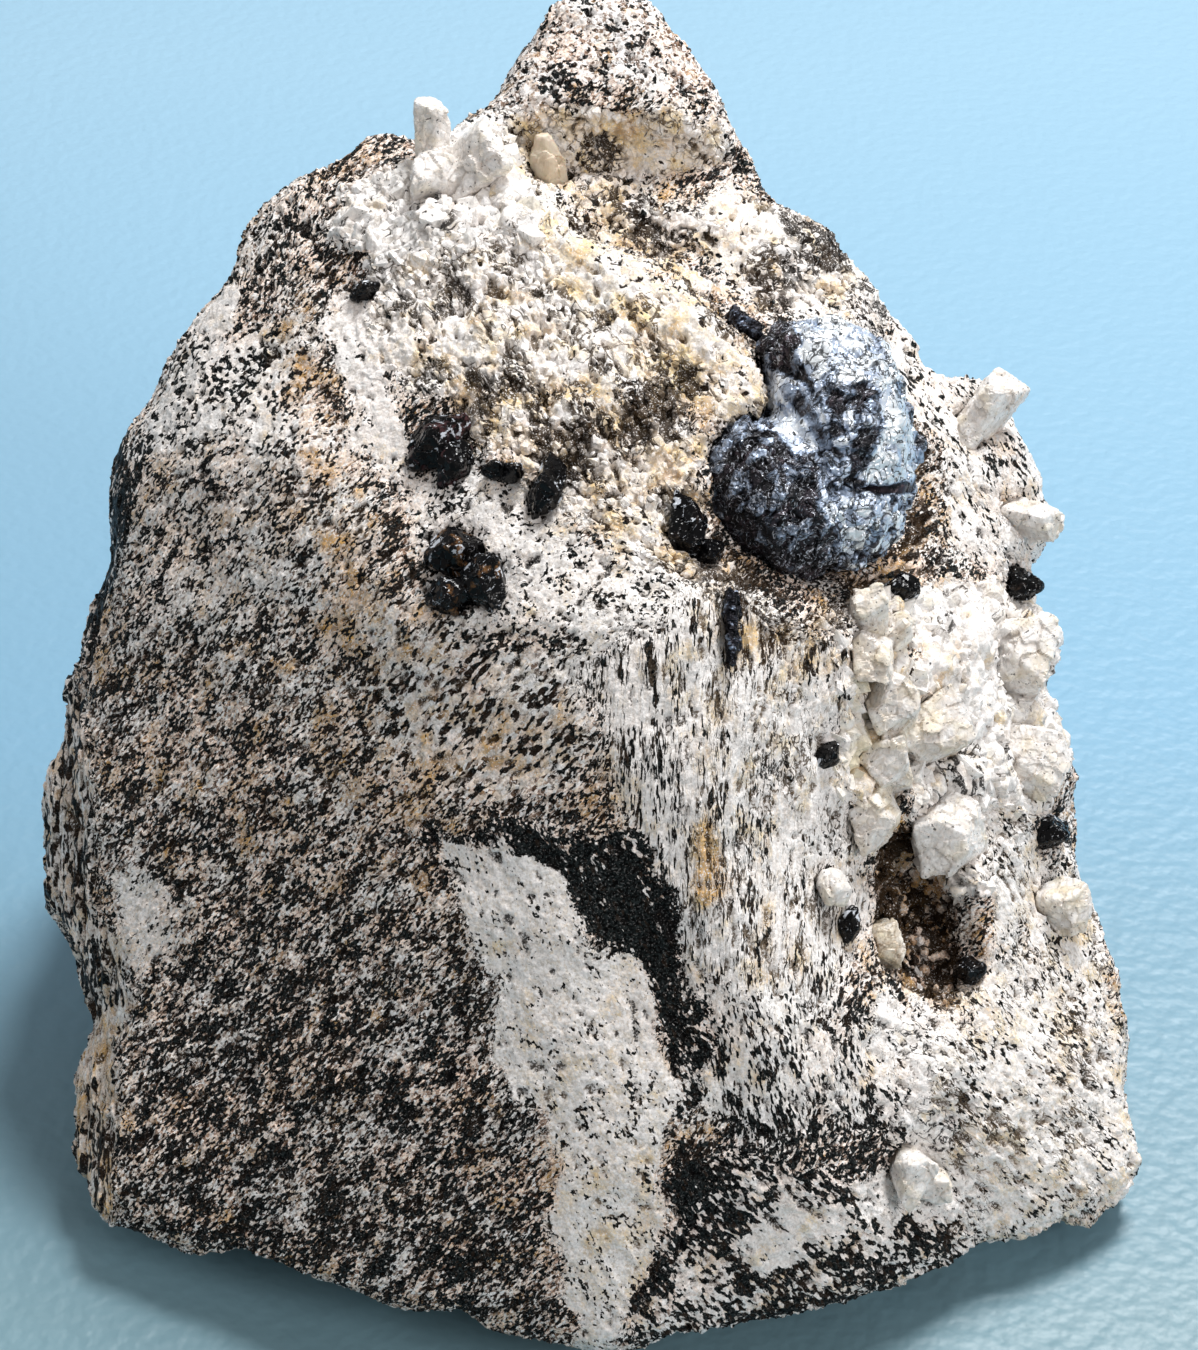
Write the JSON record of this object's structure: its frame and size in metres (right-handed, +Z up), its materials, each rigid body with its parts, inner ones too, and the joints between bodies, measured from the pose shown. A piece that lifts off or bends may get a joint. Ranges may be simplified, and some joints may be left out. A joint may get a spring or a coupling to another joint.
{
  "type": "hematite with magnetite mineral specimen",
  "caption": "Broken block of banded gneiss with a metallic hematite nodule, black magnetite crystals and white quartz, resting on a flat base.",
  "frame": {"origin": "middle of the flat broken base that the specimen rests on", "axes": "+Z up out of the base; the collector's front, with the nodule, faces -Y and up; +X to the right of someone facing it"},
  "size_m": [0.0887, 0.0873, 0.0742],
  "materials": {
    "gneiss": "rough speckled grey, black and white gneiss with foliation",
    "hematite": "metallic steel grey, leafy and hackly",
    "magnetite": "glossy black",
    "quartz": "translucent white to pale yellow, glassy",
    "feldspar": "satin tan"
  },
  "bodies": {
    "root": {"gneiss_matrix": "gneiss", "hematite_nodule": "hematite", "hematite_flake_upper": "hematite", "hematite_tail": "hematite", "magnetite_upper": "magnetite", "magnetite_lower": "magnetite", "magnetite_blade": "magnetite", "magnetite_pair": "magnetite", "magnetite_grain_shoulder": "magnetite", "magnetite_seat_left": "magnetite", "magnetite_seat_right": "magnetite", "magnetite_shoulder_hexagon": "magnetite", "magnetite_rim_upper": "magnetite", "magnetite_spine_upper": "magnetite", "magnetite_spine_lower": "magnetite", "magnetite_cavity": "magnetite", "quartz_crest_group": "quartz", "feldspar_shard": "feldspar", "quartz_spur_upper": "quartz", "quartz_spur_lower": "quartz", "quartz_vein": "quartz", "quartz_cavity_lip": "quartz", "quartz_rim_block": "quartz", "quartz_rim_upper": "quartz", "quartz_rim_foot": "quartz", "quartz_cavity_tablet": "quartz", "quartz_white_grain": "quartz", "quartz_lower_group": "quartz"}
  },
  "joints": []
}
